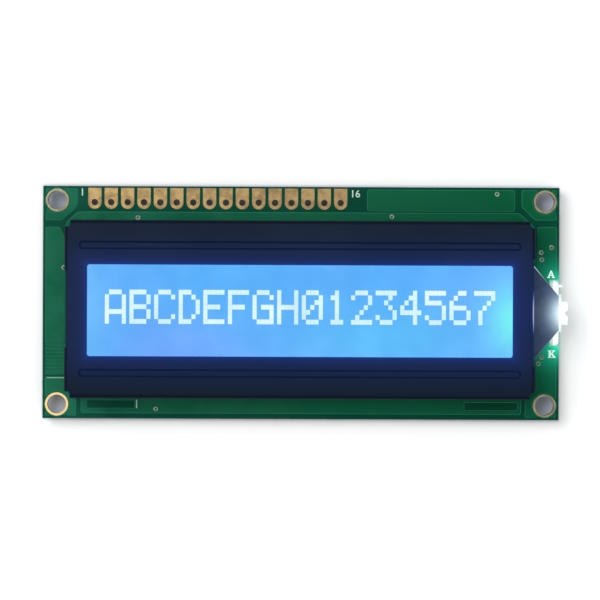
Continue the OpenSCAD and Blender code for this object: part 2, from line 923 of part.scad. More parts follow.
printed_board();
header_pads();
mounting_rings();
backlight_pads();
vias();
contact_fingers();
bezel();
front_polarizer();
front_glass();
character_fields();
liquid_crystal();
cell_seal();
fill_plug();
rear_glass();
rear_polarizer();
diffuser_film();
light_guide();
reflector_film();
upper_strip();
lower_strip();
guide_tape();
led_housing();
led_lens();
led_leads();
led_solder();
controller_die();
controller_dome();
driver_die();
driver_dome();
resistor_bodies();
resistor_ends();
capacitor_bodies();
capacitor_ends();
component_pads();
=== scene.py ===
import bmesh
import bpy
import numpy as np
from mathutils import Matrix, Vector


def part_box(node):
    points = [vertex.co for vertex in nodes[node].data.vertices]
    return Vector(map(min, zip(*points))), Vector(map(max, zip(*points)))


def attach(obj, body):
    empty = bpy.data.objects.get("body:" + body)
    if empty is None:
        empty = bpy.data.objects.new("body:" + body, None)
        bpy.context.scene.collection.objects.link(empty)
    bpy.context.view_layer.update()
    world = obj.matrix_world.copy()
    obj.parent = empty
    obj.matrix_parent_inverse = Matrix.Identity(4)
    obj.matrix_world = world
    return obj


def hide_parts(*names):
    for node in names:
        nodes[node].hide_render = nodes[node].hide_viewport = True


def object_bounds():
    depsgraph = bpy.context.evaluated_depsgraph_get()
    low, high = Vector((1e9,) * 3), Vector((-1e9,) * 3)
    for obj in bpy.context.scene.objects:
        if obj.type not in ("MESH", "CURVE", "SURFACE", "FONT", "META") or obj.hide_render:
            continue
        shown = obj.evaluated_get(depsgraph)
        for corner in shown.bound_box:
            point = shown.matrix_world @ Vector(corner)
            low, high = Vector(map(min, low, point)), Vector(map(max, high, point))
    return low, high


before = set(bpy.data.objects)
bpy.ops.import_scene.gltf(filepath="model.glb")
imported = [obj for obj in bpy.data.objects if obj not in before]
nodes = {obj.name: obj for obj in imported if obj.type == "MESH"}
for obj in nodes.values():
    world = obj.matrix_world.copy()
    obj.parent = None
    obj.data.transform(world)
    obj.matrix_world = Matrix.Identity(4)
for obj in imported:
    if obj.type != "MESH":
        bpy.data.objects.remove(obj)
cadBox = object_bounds()
scene = bpy.context.scene
mm = 0.001


def boxMm(name):
    # a node's lowest and highest corners, in millimetres
    low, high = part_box(name)
    return np.array(low) / mm, np.array(high) / mm


boardHigh = boxMm("printed_board")[1]
cellLow, cellHigh = boxMm("character_fields")
padsLow, padsHigh = boxMm("backlight_pads")
ringsLow, ringsHigh = boxMm("mounting_rings")
ledLow, ledHigh = boxMm("led_housing")
guideTop = boxMm("light_guide")[1][2]
tapeLeft = boxMm("guide_tape")[0][0]
boardTop = boardHigh[2]
ledMid = (ledLow[1] + ledHigh[1]) / 2
cellMid = (cellLow + cellHigh) / 2
ringRadius = 1.8    # of a mounting ring
rawEdge = tapeLeft + 0.4    # the bezel's cut edge over the light guide's tape

# a long lens straight above, the lamps that light the part, and the room round it
camera = {"lens": 174.2, "sensor": 36.0, "height": 450.0, "overX": -0.14, "overY": 0.465, "turn": 0.00426}
lamps = {
    "soft box": {"at": (-0.32, 0.22, 0.62), "size": 0.55, "watts": 3.9},
    "fill": {"at": (0.42, -0.30, 0.55), "size": 0.60, "watts": 1.4},
}
surround = {"light": 0.36, "floorSide": 1.6, "floorDrop": 0.05, "floorLift": 0.16, "shadeEdge": 0.6}


def addObject(name, data):
    # a new object in the scene
    made = bpy.data.objects.new(name, data)
    scene.collection.objects.link(made)
    return made


cameraData = bpy.data.cameras.new("camera")
cameraData.lens = camera["lens"]
cameraData.sensor_width = camera["sensor"]
cameraData.clip_start = 0.01
cameraObject = addObject("camera", cameraData)
cameraObject.location = (camera["overX"] * mm, camera["overY"] * mm, (boardTop + camera["height"]) * mm)
cameraObject.rotation_euler = (0, 0, camera["turn"])
scene.camera = cameraObject
scene.view_settings.view_transform = "Standard"

for lampName, lamp in lamps.items():
    lampData = bpy.data.lights.new(lampName, "AREA")
    lampData.size = lamp["size"]
    lampData.energy = lamp["watts"]
    lampObject = addObject(lampName, lampData)
    lampObject.location = lamp["at"]
    lampObject.rotation_euler = (-lampObject.location).to_track_quat("-Z", "Y").to_euler()
print("camera and lamps placed")


def linearColour(code):
    # an sRGB hex value turned to the linear numbers that a shader takes
    parts = np.array([int(code[i:i + 2], 16) for i in (1, 3, 5)]) / 255
    linear = np.where(parts <= 0.04045, parts / 12.92, ((parts + 0.055) / 1.055) ** 2.4)
    return (*linear.tolist(), 1.0)


def fillSockets(tree, node, inputs):
    # gives each named input its value: a number, a hex colour, or another node's output to link
    for name, value in inputs.items():
        if isinstance(value, bpy.types.NodeSocket):
            tree.links.new(value, node.inputs[name])
        else:
            node.inputs[name].default_value = linearColour(value) if isinstance(value, str) else value


def addNode(tree, kind, inputs=None, output=0, **settings):
    # adds a shader node, sets it, fills its inputs and gives back one of its outputs
    made = tree.nodes.new("ShaderNode" + kind)
    for name, value in settings.items():
        setattr(made, name, value)
    fillSockets(tree, made, inputs or {})
    return made.outputs[output] if made.outputs else made


# a Mix node that blends colours: its share is input 0, its colours are inputs 6 and 7
blend = {"output": 2, "data_type": "RGBA"}
eased = {"interpolation_type": "SMOOTHSTEP"}
bandScale = 0.314    # gives a wave texture one band for each unit of its place
plasticIor = 1.49    # of acrylic, and near enough of glass and film


def setShader(made, **inputs):
    # fills a material's Principled shader: each name is a socket's, with underscores for its spaces
    tree = made.node_tree
    named = {socket.replace("_", " "): value for socket, value in inputs.items()}
    fillSockets(tree, tree.nodes["Principled BSDF"], named)
    return made


def startMaterial(name, **constants):
    # a Principled material with its constants on the shader's own sockets
    made = bpy.data.materials.new(name)
    made.use_nodes = True
    return setShader(made, **constants), made.node_tree


def mottle(tree, size, low=0.3, high=0.7, detail=3.0, stretch=(1.0, 1.0, 1.0)):
    # cloudy noise in blobs of a size in millimetres: 0 under the low value, 1 over the high, eased between
    place = addNode(tree, "TexCoord", output="Object")
    scales = [part / (size * mm) for part in stretch]
    scaled = addNode(tree, "Mapping", {"Vector": place, "Scale": scales})
    cloud = addNode(tree, "TexNoise", {"Vector": scaled, "Scale": 1.0, "Detail": detail, "Roughness": 0.55})
    return addNode(tree, "MapRange", {"Value": cloud, "From Min": low, "From Max": high}, **eased)


def fallOff(tree, centre, radii, power, amount=1.0):
    # amount times exp(-d^power), where d is the distance from a centre counted in its radii, in millimetres
    place = addNode(tree, "TexCoord", output="Object")
    away = addNode(tree, "VectorMath", {0: place, 1: [c * mm for c in centre]}, operation="SUBTRACT")
    counted = addNode(tree, "VectorMath", {0: away, 1: [1 / (r * mm) for r in radii]}, operation="MULTIPLY")
    far = addNode(tree, "VectorMath", {0: counted}, "Value", operation="LENGTH")
    raised = addNode(tree, "Math", {0: far, 1: power}, operation="POWER")
    turned = addNode(tree, "Math", {0: raised, 1: -1.0}, operation="MULTIPLY")
    faded = addNode(tree, "Math", {0: turned}, operation="EXPONENT")
    return addNode(tree, "Math", {0: faded, 1: amount}, operation="MULTIPLY")


def flatShare(tree, low, high):
    # how flat a face lies: 0 where its normal's upward part is under low, 1 where it is over high
    normal = addNode(tree, "NewGeometry", output="Normal")
    upward = addNode(tree, "SeparateXYZ", {"Vector": normal}, "Z")
    size = addNode(tree, "Math", {0: upward}, operation="ABSOLUTE")
    return addNode(tree, "MapRange", {"Value": size, "From Min": low, "From Max": high}, **eased)


def pastRectangle(tree, middle, half):
    # metres outside an upright rectangle: the length of |place - middle| - half, with nothing under zero
    place = addNode(tree, "TexCoord", output="Object")
    away = addNode(tree, "VectorMath", {0: place, 1: (*(middle * mm), 0)}, operation="SUBTRACT")
    folded = addNode(tree, "VectorMath", {0: away}, operation="ABSOLUTE")
    # a metre up and down, so that only the level distance counts
    past = addNode(tree, "VectorMath", {0: folded, 1: (*(half * mm), 1.0)}, operation="SUBTRACT")
    outside = addNode(tree, "VectorMath", {0: past, 1: (0, 0, 0)}, operation="MAXIMUM")
    return addNode(tree, "VectorMath", {0: outside}, "Value", operation="LENGTH")


# Light of the switched-on module. Each glow has a centre, radii, a power and a strength, lengths in
# millimetres. The higher its power, the evener its middle and the harder its edge.
glows = {
    "upper joint": ((padsHigh[0], padsHigh[1] - 0.1, boardTop), (1.5, 1.5, 0.8), 1.0, 0.62),
    "lower joint": ((padsHigh[0], padsLow[1] + 0.1, boardTop), (1.5, 1.5, 0.8), 1.0, 1.05),
    "on gold": ((ledHigh[0], ledMid, boardTop), (4.6, 6.4, 1.4), 5.0, 1.0),
    "on tin": ((ledHigh[0], ledMid, boardTop + 1.4), (5.2, 7.0, 2.8), 4.0),
    "on ink": ((boardHigh[0], ledMid, boardTop), (5.5, 8.6, 3.0), 6.0, 0.6),
    "glint": ((rawEdge, ledMid, 8.8), (0.2, 2.9, 3.0), 4.0, 0.6),
    "bezel's end": ((rawEdge, ledMid, 8.8), (3.6, 5.6, 9.0), 2.0, 0.035),
    "moulding": ((boardHigh[0] + 0.2, ledMid, 4.0), (1.7, 3.0, 3.4), 2.0, 1.0),
    "tape's mouth": ((boardHigh[0] + 0.4, ledMid, 5.6), (1.8, 2.3, 5.0), 2.0, 1.2),
    "tape's beam": ((tapeLeft + 1.2, ledMid, 5.6), (2.6, 2.0, 5.0), 2.0, 0.035),
    "guide's rim": ((36.3, ledMid + 7.3, guideTop), (1.6, 1.9, 3.0), 2.0, 0.8),
    "guide's mouth": ((boardHigh[0] + 0.5, ledMid, 3.6), (1.2, 3.0, 9.0), 2.0, 0.9),
}
# the blue light that leaks out of the window: reach in millimetres and strength of a steep and a slow fall
leaks = ((0.3, 0.14), (2.6, 0.092))

# the window stands out past the characters by its viewing margins, a little lower than they do
window = {"margin": np.array([2.625, 4.025]), "drop": 0.2}
window["half"] = (cellHigh - cellLow)[:2] / 2 + window["margin"]
window["middle"] = cellMid[:2] - (0, window["drop"])


def solderMask(name, tones):
    # Green photo-imageable mask, screened on and cured over woven laminate: a soft sheen over a faint
    # cloth, in painted light that is brighter to the left. It runs thin over a copper edge, lined there by a
    # pale painted highlight, and the board's routed edge is bare laminate.
    made, tree = startMaterial(name, Roughness=0.36, Specular_IOR_Level=0.028, Emission_Color="#30FFCB")
    place = addNode(tree, "TexCoord", output="Object")
    along = addNode(tree, "SeparateXYZ", {"Vector": place}, "X")
    # painted light: the mask is lighter towards the left and darker towards the right
    paintedShadeToRight = addNode(tree, "MapRange", {"Value": along, "From Min": -30 * mm, "From Max": 34 * mm})
    shade = addNode(tree, "Mix", {0: paintedShadeToRight, 6: tones["left"], 7: tones["right"]}, **blend)
    cloudy = addNode(tree, "Mix", {0: mottle(tree, 7.0), 6: shade, 7: tones["cloud"]}, **blend)
    # strands of cloth lie 0.45 mm apart each way
    scaled = addNode(tree, "Mapping", {"Vector": place, "Scale": (1 / (0.45 * mm),) * 3})
    warp, weft = (
        addNode(tree, "TexWave", {"Vector": scaled, "Scale": bandScale, "Distortion": 0.6}, "Fac",
                bands_direction=direction) for direction in "XY")
    cloth = addNode(tree, "Math", {0: warp, 1: weft}, operation="MULTIPLY")
    faint = addNode(tree, "Math", {0: cloth, 1: tones["cloth"]}, operation="MULTIPLY")
    woven = addNode(tree, "Mix", {0: faint, 6: cloudy, 7: "#26775A"}, **blend)
    # painted highlight: tilted faces on the copper's edges take the pale rim tone, partly the mask's real
    # thinning there
    highlightedRim = addNode(tree, "Mix", {0: flatShare(tree, 0.93, 0.985), 6: tones["rim"], 7: woven}, **blend)
    strand = mottle(tree, 0.3, 0.35, 0.65, 4.0, (1.0, 1.0, 4.0))
    routed = addNode(tree, "Mix", {0: strand, 6: "#77824C", 7: "#9BA068"}, **blend)
    colour = addNode(tree, "Mix", {0: flatShare(tree, 0.2, 0.5), 6: routed, 7: highlightedRim}, **blend)
    relief = addNode(tree, "Bump", {"Height": cloth, "Distance": 0.004 * mm, "Strength": 0.35})
    # light from the lit joints soaks into the mask round them
    upper = fallOff(tree, *glows["upper joint"])
    lower = fallOff(tree, *glows["lower joint"])
    spill = addNode(tree, "Math", {0: upper, 1: lower}, operation="ADD")
    return setShader(made, Base_Color=colour, Normal=relief, Emission_Strength=spill)


def flashGold(name, dark, light, worn, polished):
    # Immersion gold over nickel on etched copper: satin and warm, dulled by handling in cloudy
    # patches, with hair scratches from test probes. One corner of the board, rubbed by a screw head,
    # keeps it polished, and beside the lamp it is flooded with mint light.
    made, tree = startMaterial(name, Metallic=1.0, Emission_Color="#86F0CC")
    cloudy = mottle(tree, 1.3, 0.32, 0.7, 4.0)
    clean = addNode(tree, "Mix", {0: cloudy, 6: dark, 7: light}, **blend)
    dulled = addNode(tree, "Mix", {0: mottle(tree, 0.4, 0.6, 0.8), 6: clean, 7: worn}, **blend)
    screw = (*(ringsLow[:2] + ringRadius), boardTop)
    rubbed = fallOff(tree, screw, (4.0, 4.0, 4.0), 4.0)
    colour = addNode(tree, "Mix", {0: rubbed, 6: dulled, 7: polished}, **blend)
    rough = addNode(tree, "MapRange", {"Value": cloudy, "To Min": 0.44, "To Max": 0.30})
    scratch = mottle(tree, 0.5, 0.3, 0.7, 2.0, (1.0, 9.0, 1.0))
    relief = addNode(tree, "Bump", {"Height": scratch, "Distance": 0.004 * mm, "Strength": 0.4})
    return setShader(made, Base_Color=colour, Roughness=rough, Normal=relief,
                     Emission_Strength=fallOff(tree, *glows["on gold"]))


def tinned(name, dark, light, roughness, lit, glow="#EEFFFA"):
    # Tin-lead alloy frozen from the melt: bright, with soft grain and a dull skin in the hollows,
    # and flooded with light where it stands beside the lamp.
    made, tree = startMaterial(name, Metallic=1.0, Emission_Color=glow)
    grain = mottle(tree, 0.22, 0.35, 0.65, 4.0)
    colour = addNode(tree, "Mix", {0: grain, 6: dark, 7: light}, **blend)
    rough = addNode(tree, "MapRange", {"Value": grain, "To Min": roughness, "To Max": roughness + 0.16})
    relief = addNode(tree, "Bump", {"Height": grain, "Distance": 0.010 * mm, "Strength": 0.5})
    return setShader(made, Base_Color=colour, Roughness=rough, Normal=relief,
                     Emission_Strength=fallOff(tree, *glows["on tin"], lit))


def platedVia():
    # Drilled and plated hole with a reflowed rim: a dull grey-tan ring round a dimple in painted shade.
    made, tree = startMaterial("reflowed via", Metallic=0.6, Roughness=0.5)
    place = addNode(tree, "TexCoord", output="Object")
    height = addNode(tree, "SeparateXYZ", {"Vector": place}, "Z")
    middle = addNode(tree, "Math", {0: height, 1: boardTop / 2 * mm}, operation="SUBTRACT")
    out = addNode(tree, "Math", {0: middle}, operation="ABSOLUTE")
    # painted shade in the dimple under the board's faces, metal above them, on the front and the rear alike
    metalOverShade = addNode(tree, "MapRange", {"Value": out, "From Min": (boardTop / 2 - 0.02) * mm,
                                       "From Max": (boardTop / 2 + 0.06) * mm}, **eased)
    metal = addNode(tree, "Mix", {0: mottle(tree, 0.2), 6: "#626D5F", 7: "#8C9586"}, **blend)
    colour = addNode(tree, "Mix", {0: metalOverShade, 6: "#12261C", 7: metal}, **blend)
    return setShader(made, Base_Color=colour)


def bezelPaint():
    # Blue-black stoving paint sprayed on pressed steel: satin with a fine orange peel, with painted shade
    # down the bent flanks and towards the bottom, tinted by blue light that leaks out of the window and
    # fades over a few millimetres.
    made, tree = startMaterial("satin paint on pressed steel", Roughness=0.44, Specular_IOR_Level=0.03)
    place = addNode(tree, "TexCoord", output="Object")
    upBoard = addNode(tree, "SeparateXYZ", {"Vector": place}, "Y")
    # painted shade: the paint is darker towards the bottom of the board
    paintedLightToTop = addNode(tree, "MapRange", {"Value": upBoard, "From Min": -14 * mm, "From Max": -7 * mm})
    coat = addNode(tree, "Mix", {0: mottle(tree, 14.0), 6: "#131D26", 7: "#18222D"}, **blend)
    paint = addNode(tree, "Mix", {0: paintedLightToTop, 6: "#101A22", 7: coat}, **blend)
    # painted shade: faces tilted from level, on the bent flanks and the bead walls, take a darker tone
    colour = addNode(tree, "Mix", {0: flatShare(tree, 0.90, 0.995), 6: "#08121A", 7: paint}, **blend)
    # peel of about 0.5 mm, coarser than life so that it shows
    relief = addNode(tree, "Bump", {"Height": mottle(tree, 0.55, 0.2, 0.8, 2.0), "Distance": 0.006 * mm,
                                    "Strength": 0.5})
    distance = pastRectangle(tree, window["middle"], window["half"])
    falls = []
    for reach, amount in leaks:
        counted = addNode(tree, "Math", {0: distance, 1: -1 / (reach * mm)}, operation="MULTIPLY")
        faded = addNode(tree, "Math", {0: counted}, operation="EXPONENT")
        falls.append(addNode(tree, "Math", {0: faded, 1: amount}, operation="MULTIPLY"))
    both = addNode(tree, "Math", {0: falls[0], 1: falls[1]}, operation="ADD")
    leak = addNode(tree, "Math", {0: both, 1: flatShare(tree, 0.3, 0.9)}, operation="MULTIPLY")
    # the raw edge beside the lamp catches its light in one fine line
    glint = fallOff(tree, *glows["glint"])
    tone = addNode(tree, "Mix", {0: glint, 6: "#1C58FF", 7: "#FFFFFF"}, **blend)
    lampShare = addNode(tree, "Math", {0: fallOff(tree, *glows["bezel's end"]), 1: glint}, operation="ADD")
    total = addNode(tree, "Math", {0: leak, 1: lampShare}, operation="ADD")
    return setShader(made, Base_Color=colour, Normal=relief, Emission_Color=tone, Emission_Strength=total)


def clearSheet(name, tint, roughness, share):
    # A clear sheet with parallel faces: nearly all light goes straight through, and a little is
    # mirrored by the face that it meets first, more at a grazing angle.
    made = bpy.data.materials.new(name)
    made.use_nodes = True
    tree = made.node_tree
    tree.nodes.remove(tree.nodes["Principled BSDF"])
    colour = addNode(tree, "Mix", {0: mottle(tree, 6.0), 6: tint, 7: "#FFFFFF"}, **blend)
    through = addNode(tree, "BsdfTransparent", {"Color": colour})
    mirror = addNode(tree, "BsdfGlossy", {"Color": "#FFFFFF", "Roughness": roughness})
    edge = addNode(tree, "Fresnel", {"IOR": plasticIor})
    inner = addNode(tree, "NewGeometry", output="Backfacing")
    outer = addNode(tree, "MapRange", {"Value": inner, "To Min": share, "To Max": 0.0})
    mirrored = addNode(tree, "Math", {0: edge, 1: outer}, operation="MULTIPLY")
    both = addNode(tree, "MixShader", {0: mirrored, 1: through, 2: mirror})
    tree.links.new(both, tree.nodes["Material Output"].inputs["Surface"])
    return made


def litLayer(name, base, strength, cloud, dark, light, patches=()):
    # A layer of the cell lit from behind: two near tones in clouds, and patches of other tones, each with a
    # centre, radii and a strength.
    made, tree = startMaterial(name, Base_Color=base, Roughness=0.5, Specular_IOR_Level=0.0,
                               Emission_Strength=strength)
    colour = addNode(tree, "Mix", {0: mottle(tree, *cloud), 6: dark, 7: light}, **blend)
    for centre, radii, amount, tone in patches:
        share = fallOff(tree, centre, radii, 2.0, amount)
        colour = addNode(tree, "Mix", {0: share, 6: colour, 7: tone}, **blend)
    return setShader(made, Emission_Color=colour)


# Twisted nematic crystal with a blue dye, lit by a dotted guide: sky blue that drifts to violet where the
# guide's dots are sparse, and to cyan beside the lamp. Its cleared dots are nearly white, a breath of cyan.
crystalPatches = (
    ((-18.5, -7.5, 7.0), (11.0, 7.0, 9.0), 1.0, "#70A9FE"),
    ((-15.0, 3.5, 7.0), (10.0, 6.0, 9.0), 1.0, "#50AFFA"),
    ((13.0, -5.5, 7.0), (15.0, 5.0, 9.0), 0.9, "#56BFFC"),
    ((window["middle"][0] - window["half"][0], cellMid[1], 7.0), (2.4, 30.0, 9.0), 0.7, "#6ABAFC"),
    ((32.6, ledMid - 1.2, 7.0), (3.6, 5.0, 9.0), 1.0, "#7DF9FA"),
)
crystalCloud = (26.0, 0.34, 0.66, 1.0, (1.0, 1.6, 1.0))


def litMoulding():
    # White polyamide reflector cup of an edge light: it glows right through, brightest at its mouth.
    made, tree = startMaterial("white moulded polyamide, lit", Roughness=0.45)
    cloudy = mottle(tree, 0.8)
    white = addNode(tree, "Mix", {0: cloudy, 6: "#B4C2CB", 7: "#C8D3DA"}, **blend)
    glow = addNode(tree, "Mix", {0: cloudy, 6: "#D8F2F4", 7: "#FFFFFF"}, **blend)
    return setShader(made, Base_Color=white, Emission_Color=glow,
                     Emission_Strength=fallOff(tree, *glows["moulding"]))


def darkTape():
    # Slate polyester tape with a black backing, matt: the lamp shines through it at its mouth.
    made, tree = startMaterial("slate polyester tape", Roughness=0.55, Specular_IOR_Level=0.12,
                               Emission_Color="#DDF8FF")
    colour = addNode(tree, "Mix", {0: mottle(tree, 1.2), 6: "#3A4C69", 7: "#465879"}, **blend)
    relief = addNode(tree, "Bump", {"Height": mottle(tree, 0.4, 0.2, 0.8, 2.0), "Distance": 0.004 * mm,
                                    "Strength": 0.5})
    near, beam = fallOff(tree, *glows["tape's mouth"]), fallOff(tree, *glows["tape's beam"])
    lit = addNode(tree, "Math", {0: near, 1: beam}, operation="ADD")
    return setShader(made, Base_Color=colour, Normal=relief, Emission_Strength=lit)


def litAcrylic():
    # Moulded acrylic light guide: clear and polished. Its upper slanted rim shines where the light
    # leaves it, and the rest stays dark over the board.
    made, tree = startMaterial("clear moulded acrylic, lit", Roughness=0.2, IOR=plasticIor,
                               Specular_IOR_Level=0.3, Emission_Color="#CFEAF2")
    colour = addNode(tree, "Mix", {0: mottle(tree, 2.0), 6: "#5A6F81", 7: "#687E90"}, **blend)
    rim, mouth = fallOff(tree, *glows["guide's rim"]), fallOff(tree, *glows["guide's mouth"])
    lit = addNode(tree, "Math", {0: rim, 1: mouth}, operation="ADD")
    return setShader(made, Base_Color=colour, Emission_Strength=lit)


def pottingEpoxy():
    # Black glob-top epoxy, dispensed and cured: low satin with flow marks and tiny pits.
    made, tree = startMaterial("black potting epoxy", Specular_IOR_Level=0.35)
    flow = mottle(tree, 3.2)
    colour = addNode(tree, "Mix", {0: flow, 6: "#0C0C0D", 7: "#1B1A1A"}, **blend)
    rough = addNode(tree, "MapRange", {"Value": flow, "To Min": 0.30, "To Max": 0.52})
    # pits lie about 0.5 mm apart, and their floors are flat
    place = addNode(tree, "TexCoord", output="Object")
    scaled = addNode(tree, "Mapping", {"Vector": place, "Scale": (1 / (0.5 * mm),) * 3})
    pits = addNode(tree, "TexVoronoi", {"Vector": scaled, "Scale": 1.0}, "Distance")
    shallow = addNode(tree, "Math", {0: pits, 1: 0.25}, operation="MINIMUM")
    relief = addNode(tree, "Bump", {"Height": shallow, "Distance": 0.02 * mm, "Strength": 0.5})
    return setShader(made, Base_Color=colour, Roughness=rough, Normal=relief)


def grainy(name, dark, light, size, roughness, bump, specular=0.4):
    # A dull solid seen close: two near tones in grains of a size in millimetres, and their relief.
    made, tree = startMaterial(name, Roughness=roughness, Specular_IOR_Level=specular)
    grain = mottle(tree, size)
    colour = addNode(tree, "Mix", {0: grain, 6: dark, 7: light}, **blend)
    relief = addNode(tree, "Bump", {"Height": grain, "Distance": bump * mm, "Strength": 0.5})
    return setShader(made, Base_Color=colour, Normal=relief)


def litInk():
    # White epoxy ink beside the lit joints: the light that spills on it turns it mint white.
    made = grainy("white silkscreen ink, lit", "#C3D2C8", "#DDE7E0", 0.25, 0.6, 0.004, 0.2)
    near = fallOff(made.node_tree, *glows["on ink"])
    return setShader(made, Emission_Color="#C9FFEE", Emission_Strength=near)


materials = {
    # the left and right tones are painted light, lighter to the left; the rim tone is a painted highlight on
    # copper edges
    "laminate": solderMask("solder mask on laminate", {
        "left": "#0D4E3C", "right": "#03402D", "cloud": "#044434", "rim": "#084A38", "cloth": 0.06}),
    "copper": solderMask("solder mask on copper", {
        "left": "#1F6C51", "right": "#085735", "cloud": "#0D5C42", "rim": "#247558", "cloth": 0.05}),
    "gold": flashGold("flash gold on copper", "#766244", "#967F55", "#5E4E3A", "#967F55"),
    "dull gold": flashGold("flash gold gone dull", "#66634F", "#8C8768", "#57523F", "#C2A877"),
    "via": platedVia(),
    "paint": bezelPaint(),
    "front film": clearSheet("stretched polarizer film", "#F8FBFF", 0.16, 0.8),
    "rear film": grainy("stretched polarizer, rear", "#3E5A96", "#4B6CAC", 2.0, 0.4, 0.002),
    "glass": clearSheet("float glass", "#F6FCFB", 0.02, 0.1),
    "dots": litLayer("cleared dots lit from behind", "#101820", 1.05, (5.0,), "#D5F2FC", "#E3FAFE"),
    "cell": litLayer("liquid crystal lit from behind", "#04101C", 1.03, crystalCloud, "#52B0FC", "#62AFFD",
                     crystalPatches),
    "seal": grainy("printed epoxy seal", "#86867F", "#98988F", 0.4, 0.6, 0.003),
    "plug": grainy("cured clear glue", "#B4A76C", "#CFC38D", 0.5, 0.25, 0.01),
    "diffuser": grainy("milky diffuser film", "#D9E0E8", "#E9EEF3", 1.5, 0.6, 0.002),
    "guide": litAcrylic(),
    "reflector": grainy("white reflector film", "#E2E4E6", "#F0F1F2", 1.5, 0.6, 0.002),
    "elastomer": grainy("layered silicone rubber", "#2E2E33", "#43434A", 0.2, 0.7, 0.004),
    "tape": darkTape(),
    "moulding": litMoulding(),
    "gel": grainy("phosphor gel", "#E6D75C", "#F2E98A", 0.4, 0.3, 0.003),
    "lead": tinned("tinned lead", "#8F9296", "#C4C6C9", 0.26, 0.7),
    "solder": tinned("solidified solder", "#A3A8AB", "#DADDDF", 0.22, 0.95),
    "lit pad": tinned("solder-wetted pad", "#66847A", "#7F9C90", 0.32, 0.62, "#63EABF"),
    "silicon": grainy("sawn silicon", "#2A2A33", "#3A3A44", 0.3, 0.3, 0.002),
    "potting": pottingEpoxy(),
    "resistor": grainy("black overglaze on alumina", "#101113", "#1B1C1F", 0.25, 0.35, 0.004),
    "capacitor": grainy("fired titanate ceramic", "#7D6243", "#97784F", 0.15, 0.5, 0.004),
    "ink": grainy("white silkscreen ink", "#B2CDBE", "#CFE2D6", 0.25, 0.6, 0.004, 0.2),
    "lit ink": litInk(),
}
finishedNodes = {
    "laminate": "printed_board", "gold": "header_pads contact_fingers component_pads",
    "dull gold": "mounting_rings", "lit pad": "backlight_pads", "via": "vias", "paint": "bezel",
    "front film": "front_polarizer", "rear film": "rear_polarizer", "glass": "front_glass rear_glass",
    "dots": "character_fields", "cell": "liquid_crystal", "seal": "cell_seal", "plug": "fill_plug",
    "diffuser": "diffuser_film", "guide": "light_guide", "reflector": "reflector_film",
    "elastomer": "upper_strip lower_strip", "tape": "guide_tape", "moulding": "led_housing",
    "gel": "led_lens", "lead": "led_leads resistor_ends capacitor_ends", "solder": "led_solder",
    "silicon": "controller_die driver_die", "potting": "controller_dome driver_dome",
    "resistor": "resistor_bodies", "capacitor": "capacitor_bodies",
}
for finish, names in finishedNodes.items():
    for name in names.split():
        if not nodes[name].material_slots:
            nodes[name].data.materials.append(materials[finish])
        for slot in nodes[name].material_slots:
            slot.material = materials[finish]
print("materials on the packed nodes")


def placePiece(piece, finish, replaced=None):
    # gives a finished mesh its finish, its body and its slot, and hides the node that it stands for
    piece.data.materials.clear()
    piece.data.materials.append(materials[finish])
    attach(piece, "root")
    if replaced:
        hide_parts(replaced)
    return piece


mergeMm = 0.0005    # points nearer than this are one


def meshPiece(name, points, faces, levels=(), smooth=False):
    # Points in millimetres and faces of point numbers. Open loops that lie at a given level are filled
    # flat, holes left open. Doubles are merged and the faces turned outwards.
    mesh = bpy.data.meshes.new(name)
    mesh.from_pydata(np.asarray(points, float).tolist(), [], [list(face) for face in faces])
    work = bmesh.new()
    work.from_mesh(mesh)
    for level in levels:
        openEdges = [edge for edge in work.edges
                     if edge.is_boundary and all(abs(end.co.z - level) < 1e-5 for end in edge.verts)]
        bmesh.ops.triangle_fill(work, edges=openEdges, use_beauty=True, use_dissolve=False, normal=(0, 0, 1))
    bmesh.ops.remove_doubles(work, verts=work.verts, dist=mergeMm)
    bmesh.ops.recalc_face_normals(work, faces=work.faces)
    bmesh.ops.scale(work, vec=(mm,) * 3, verts=work.verts)
    work.to_mesh(mesh)
    work.free()
    if smooth:
        mesh.shade_smooth()
        mesh.set_sharp_from_angle(angle=0.7)
    return addObject(name, mesh)


def leftOf(direction):
    # a direction turned a quarter to the left: (-y, x)
    return np.stack([-direction[..., 1], direction[..., 0]], axis=-1)


def mitreOf(into, out):
    # the shift of a corner that moves both its lines one to the left: (left in + left out) / (1 + in . out)
    return (leftOf(into) + leftOf(out)) / (1 + (into * out).sum(-1, keepdims=True))


def raisedShape(name, loops, base, face, rim=0.0):
    # Closed flat loops, the first round the outside and the rest round holes, raised from base to face.
    # The face's outline is the base's, moved in by the rim along the mitre of each corner.
    points, walls, start = [], [], 0
    for number, loop in enumerate(loops):
        loop = np.asarray(loop, float)
        ahead = np.roll(loop, -1, axis=0)
        turnsLeft = (loop[:, 0] * ahead[:, 1] - ahead[:, 0] * loop[:, 1]).sum() > 0
        if turnsLeft != (number == 0):
            loop = loop[::-1]
            ahead = np.roll(loop, -1, axis=0)
        out = (ahead - loop) / np.linalg.norm(ahead - loop, axis=1, keepdims=True)
        inner = loop + rim * mitreOf(np.roll(out, 1, axis=0), out)
        count = len(loop)
        points.append(np.column_stack([loop, np.full(count, base)]))
        points.append(np.column_stack([inner, np.full(count, face)]))
        here = np.arange(count)
        after = (here + 1) % count
        walls.append(start + np.column_stack([here, after, after + count, here + count]))
        start += 2 * count
    return meshPiece(name, np.concatenate(points), np.concatenate(walls), (base, face))


def circle(centre, radius, steps=40):
    # points round a circle
    turn = np.linspace(0, 2 * np.pi, steps, endpoint=False)
    return np.column_stack([centre[0] + radius * np.cos(turn), centre[1] + radius * np.sin(turn)])


def rectangle(low, high):
    # the corners of an upright rectangle, turning left from the lowest
    return np.array([(low[0], low[1]), (high[0], low[1]), (high[0], high[1]), (low[0], high[1])], float)


